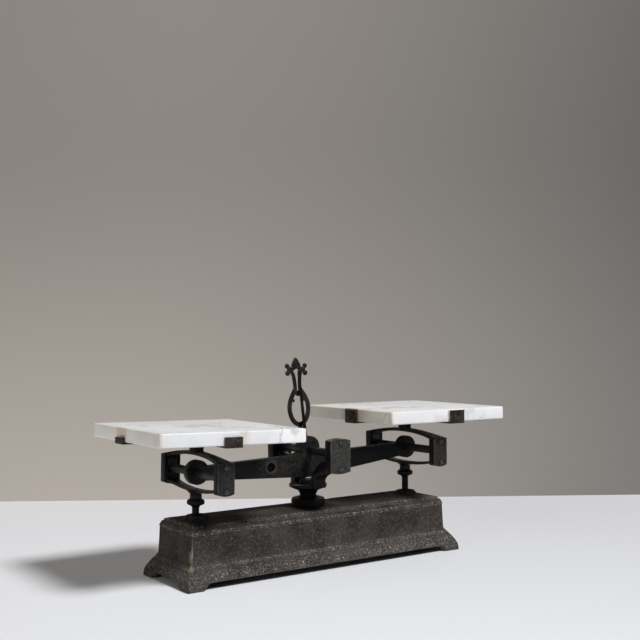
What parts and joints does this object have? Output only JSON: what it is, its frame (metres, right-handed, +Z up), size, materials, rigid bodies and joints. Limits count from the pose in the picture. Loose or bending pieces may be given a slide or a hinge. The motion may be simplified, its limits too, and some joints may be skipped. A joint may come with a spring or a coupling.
{
  "type": "balance scale",
  "caption": "Counter balance scale: cast-iron base, equal-arm beam on knife edges, square marble plates held level by a parallel linkage, needle and lyre pointer.",
  "frame": {"origin": "on the table, at the middle of the base, under the column", "axes": "+X along the beam towards the right plate, +Y from front to back, +Z up"},
  "size_m": [0.573, 0.2224, 0.2902],
  "materials": {
    "base_iron": "rough worn black paint over cast iron",
    "works_iron": "dark matt oxidised",
    "cover_steel": "dark brushed",
    "knife_steel": "dark hardened",
    "screw_steel": "dull",
    "lead": "dull grey lead",
    "marble": "honed, softly veined"
  },
  "bodies": {
    "stand": {"base_casting": "base_iron", "left_guide_collar": "base_iron", "right_guide_collar": "base_iron", "column": "works_iron", "yoke": "works_iron", "column_bolt": "screw_steel", "stay_bracket": "works_iron", "stay_pin": "screw_steel", "lyre_bracket": "works_iron", "lyre": "works_iron", "lyre_screws": "screw_steel", "front_centre_bearing": "knife_steel", "back_centre_bearing": "knife_steel", "front_centre_cover": "cover_steel", "back_centre_cover": "cover_steel", "centre_cover_screws": "screw_steel"},
    "beam": {"beam": "works_iron", "tare_plug": "lead", "centre_knife": "knife_steel", "left_knife": "knife_steel", "right_knife": "knife_steel", "needle": "works_iron", "needle_screw": "screw_steel"},
    "left_carrier": {"left_carrier_frame": "works_iron", "left_stem": "works_iron", "left_stem_fork": "works_iron", "left_stem_pin": "screw_steel", "left_front_bearing": "knife_steel", "left_back_bearing": "knife_steel", "left_front_cover": "cover_steel", "left_back_cover": "cover_steel", "left_cover_screws": "screw_steel", "left_plate_cross": "works_iron", "left_cross_screw": "screw_steel"},
    "right_carrier": {"right_carrier_frame": "works_iron", "right_stem": "works_iron", "right_stem_fork": "works_iron", "right_stem_pin": "screw_steel", "right_front_bearing": "knife_steel", "right_back_bearing": "knife_steel", "right_front_cover": "cover_steel", "right_back_cover": "cover_steel", "right_cover_screws": "screw_steel", "right_plate_cross": "works_iron", "right_cross_screw": "screw_steel"},
    "left_plate": {"left_marble_plate": "marble"},
    "right_plate": {"right_marble_plate": "marble"},
    "lower_stay": {"lower_stay": "works_iron"}
  },
  "joints": [
    {"name": "beam_swing", "type": "hinge", "parent": "stand", "child": "beam", "pos_m": [0, 0, 0.1525], "axis": [0, 1, 0], "range_deg": [-2.6, 5.8]},
    {"name": "left_carrier_swing", "type": "hinge", "parent": "beam", "child": "left_carrier", "pos_m": [-0.17792, 0, 0.14703], "axis": [0, 1, 0], "range_deg": [-5.8, 2.6]},
    {"name": "right_carrier_swing", "type": "hinge", "parent": "beam", "child": "right_carrier", "pos_m": [0.17794, 0, 0.15697], "axis": [0, 1, 0], "range_deg": [-5.8, 2.6]},
    {"name": "stay_swing", "type": "hinge", "parent": "stand", "child": "lower_stay", "pos_m": [0, 0, 0.042], "axis": [0, 1, 0], "range_deg": [-2.6, 5.8]},
    {"name": "left_plate_lift", "type": "slide", "parent": "left_carrier", "child": "left_plate", "axis": [0.0279, 0, 0.9996], "range_m": [0, 0.025]},
    {"name": "right_plate_lift", "type": "slide", "parent": "right_carrier", "child": "right_plate", "axis": [0.0087, 0, 1], "range_m": [0, 0.025]}
  ],
  "couplings": [
    {"joint": "left_carrier_swing", "follows": "beam_swing", "ratio": -1},
    {"joint": "right_carrier_swing", "follows": "beam_swing", "ratio": -1},
    {"joint": "stay_swing", "follows": "beam_swing", "ratio": 1}
  ]
}
